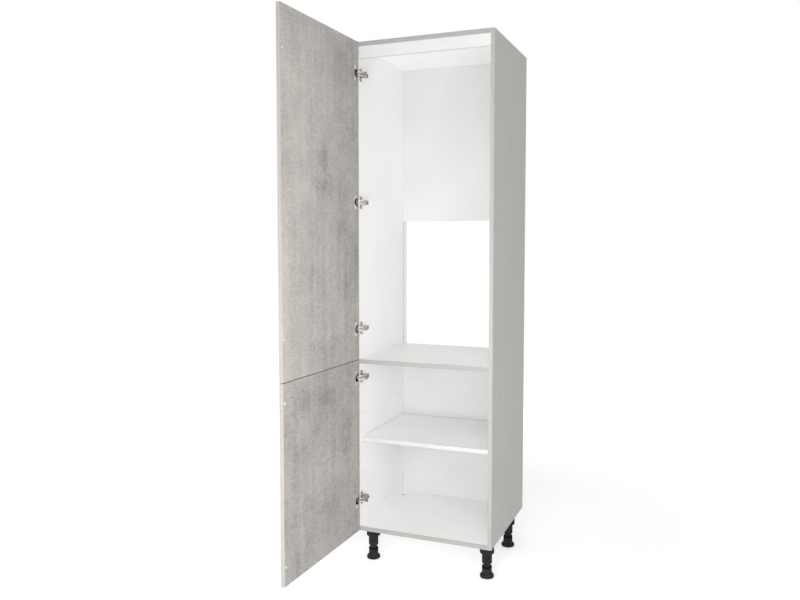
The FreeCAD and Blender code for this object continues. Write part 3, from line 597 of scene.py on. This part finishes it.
def add_screw(bm, points):
    """Screw that stands where a plain one was."""
    place, radius, height, shank, length = measure_screw(points)
    profile = [(0.0, -length), (shank * TIP_SHARE, -length), (shank, TIP_LENGTH - length), (shank, 0.0)]
    profile += [(radius * across, height * up) for across, up in HEAD_PROFILE]
    rings = [ring(bm, place, across, up, SCREW_SEGMENTS) for across, up in profile]
    for first, second in zip(rings, rings[1:]):
        join_rings(bm, first, second)
    outline = cross_outline(radius)
    mouth = [bm.verts.new(place @ Vector((*corner, height))) for corner in outline]
    well_shade_mask = height * (1 - CROSS_DEPTH)
    pit = [bm.verts.new(place @ Vector((*(corner * CROSS_TAPER), well_shade_mask))) for corner in outline]
    join_rings(bm, mouth, pit)
    bm.faces.new(pit)
    edges = []
    for loop in (rings[-1], mouth):
        for ends in zip(loop, loop[1:] + loop[:1]):
            edges.append(bm.edges.get(ends) or bm.edges.new(ends))
    bmesh.ops.triangle_fill(bm, use_beauty=True, edges=edges)


SCREWS = {
    "plate_screws": ("carcass", steel), "arm_screws": ("carcass", burnished),
    "leg_screws": ("carcass", steel),
    "upper_cup_screws": ("upper_door", steel), "lower_cup_screws": ("lower_door", steel),
}
for name, (body, finish) in SCREWS.items():
    bm = bmesh.new()
    for points in loose_parts(name):
        add_screw(bm, points)
    piece(name + "_crossed", bm, body, (finish,), name)

# Screw feet, as radius and height in metres from the floor: a rounded pad, a grip with shallow flutes, a
# rim painted black as shade and the stem in the leg
FOOT_SEGMENTS = 64
FOOT_SOLE = [(0.0, 0.0016), (0.0215, 0.0016), (0.0225, 0.0)]
FOOT_PAD = [
    (0.0255, 0.0), (0.0278, 0.0011), (0.0290, 0.0030), (0.0295, 0.0056), (0.0293, 0.0084),
    (0.0284, 0.0114), (0.0266, 0.0142), (0.0242, 0.0162), (0.0222, 0.0173),
]
FOOT_GRIP = [(0.0207, 0.0182), (0.0205, 0.0196), (0.0205, 0.0398), (0.0203, 0.0404)]
FOOT_RIM = [
    (0.0207, 0.0406), (0.0210, 0.0412), (0.0210, 0.0456), (0.0206, 0.0466), (0.0199, 0.0472),
    (0.0194, 0.0472), (0.0189, 0.0464), (0.0187, 0.0372), (0.0155, 0.0368),
]
FOOT_STEM = [
    (0.0150, 0.0380), (0.0150, 0.1140), (0.0140, 0.1150), (0.0040, 0.1150), (0.0040, 0.1090), (0.0, 0.1090),
]
GRIP_FLUTES = 16
GRIP_DEPTH = 0.0006
# the rim's near-black colour is painted shade
FOOT_FINISHES = (black_plastic, rim_painted_shade)
BODY_FINISH, RIM_SHADE_FINISH = 0, 1
FOOT_SECTIONS = (
    (FOOT_SOLE + FOOT_PAD, 0.0, BODY_FINISH), (FOOT_GRIP, GRIP_DEPTH, BODY_FINISH),
    (FOOT_RIM, 0.0, RIM_SHADE_FINISH), (FOOT_STEM, 0.0, BODY_FINISH),
)


def foot_mesh(node):
    """Turned foot on the axis of the plain one."""
    low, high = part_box(node)
    axis = Matrix.Translation(((low[0] + high[0]) / 2, (low[1] + high[1]) / 2, 0.0))
    bm = bmesh.new()
    below = None
    for outline, depth, finish in FOOT_SECTIONS:
        for radius, height in outline:
            points = ring(bm, axis, radius, height, FOOT_SEGMENTS, GRIP_FLUTES, depth)
            if below:
                join_rings(bm, below, points, finish)
            below = points
    return bm


for node in ("foot_front_left", "foot_front_right", "foot_rear_left", "foot_rear_right"):
    piece(node + "_fluted", foot_mesh(node), node, FOOT_FINISHES, node)


# Stage: the floor glows less round the object, a painted darkening there that lets its shadow show, in
# metres from the origin
FLOOR_HALF = 40.0
FLOOR_COLOUR = (0.9, 0.9, 0.9, 1.0)
GLOW_REACH = (0.9, 2.6)
GLOW_RANGE = (0.33, 0.56)
SKY_COLOUR = (1.0, 1.0, 1.0, 1.0)
SKY_SEEN = 1.0
SKY_LIGHT = 0.53


def in_sight(tree):
    """1 for what the camera sees, straight, mirrored or through glass, and 0 for the light on surfaces."""
    path = add(tree, "ShaderNodeLightPath").outputs
    seen = math_node(tree, "MAXIMUM", path["Is Camera Ray"], path["Is Glossy Ray"])
    return math_node(tree, "MAXIMUM", seen, path["Is Transmission Ray"])


def floor_material():
    """Pale floor that shows white to the camera and still takes the object's shadow."""
    material = bpy.data.materials.new("floor")
    material.use_nodes = True
    tree = material.node_tree
    tree.nodes.clear()
    diffuse = add(tree, "ShaderNodeBsdfDiffuse", {"Color": FLOOR_COLOUR})
    # painted shade: less glow near the object darkens the floor round it
    level = ramp(tree, vector_node(tree, "LENGTH", object_place(tree)), GLOW_REACH, GLOW_RANGE)
    glow = add(tree, "ShaderNodeEmission", {"Strength": math_node(tree, "MULTIPLY", in_sight(tree), level)})
    both = add(tree, "ShaderNodeAddShader", {0: diffuse.outputs[0], 1: glow.outputs[0]})
    add(tree, "ShaderNodeOutputMaterial", {"Surface": both.outputs[0]})
    return material


def make_world():
    """White background that lights the object less than it shows."""
    world = bpy.data.worlds.new("studio")
    world.use_nodes = True
    tree = world.node_tree
    tree.nodes.clear()
    level = ramp(tree, in_sight(tree), end=(SKY_LIGHT, SKY_SEEN))
    sky = add(tree, "ShaderNodeBackground", {"Color": SKY_COLOUR, "Strength": level})
    add(tree, "ShaderNodeOutputWorld", {"Surface": sky.outputs[0]})
    return world


mesh = bpy.data.meshes.new("floor")
corners = [(x * FLOOR_HALF, y * FLOOR_HALF, 0) for x, y in ((-1, -1), (1, -1), (1, 1), (-1, 1))]
mesh.from_pydata(corners, [], [(0, 1, 2, 3)])
mesh.materials.append(floor_material())
floor = bpy.data.objects.new("floor", mesh)
scene.collection.objects.link(floor)
scene.world = make_world()

# Lamps: name, place, point that they face and width in metres, and power in watts
MIDDLE = (0.0, -0.4, 1.1)
LOWER_MIDDLE = (0.0, -0.3, 0.5)
FOOT_MIDDLE = (0.0, -0.3, 0.2)
LAMPS = (
    ("right_light", (1.2, -2.6, 1.4), MIDDLE, 1.2, 19.0),
    ("left_light", (-0.6, -3.6, 1.5), MIDDLE, 2.0, 11.0),
    ("low_light", (0.3, -3.2, 0.7), FOOT_MIDDLE, 0.9, 40.0),
    ("top_light", (0.5, -2.8, 3.4), LOWER_MIDDLE, 1.6, 10.0),
    ("back_light", (-1.4, 2.4, 0.5), MIDDLE, 0.9, 14.0),
    ("side_light", (-3.2, -0.9, 1.2), MIDDLE, 2.0, 24.0),
)


def softbox(name, place, target, width, power):
    """Large square lamp aimed at a point."""
    data = bpy.data.lights.new(name, "AREA")
    data.shape = "SQUARE"
    data.size = width
    data.energy = power
    lamp = bpy.data.objects.new(name, data)
    lamp.location = place
    lamp.rotation_euler = (Vector(target) - Vector(place)).to_track_quat("-Z", "Y").to_euler()
    scene.collection.objects.link(lamp)


for lamp in LAMPS:
    softbox(*lamp)

# Camera, fitted to the photograph's straight edges, in metres, radians and pixels of an 800 x 600 image
IMAGE_WIDTH = 800
FOCAL_PIXELS = 765.4
SENSOR_MM = 36.0
CAMERA_PLACE = (1.0985, -3.4718, 1.4008)
CAMERA_YAW = 0.3876
CAMERA_PITCH = -0.0582
CAMERA_SHIFT_Y = -0.02

camera = bpy.data.cameras.new("camera")
camera.sensor_width = SENSOR_MM
camera.lens = FOCAL_PIXELS * SENSOR_MM / IMAGE_WIDTH
camera.shift_y = CAMERA_SHIFT_Y
eye = bpy.data.objects.new("camera", camera)
eye.location = CAMERA_PLACE
eye.rotation_euler = (math.pi / 2 + CAMERA_PITCH, 0.0, CAMERA_YAW)
scene.collection.objects.link(eye)
scene.camera = eye
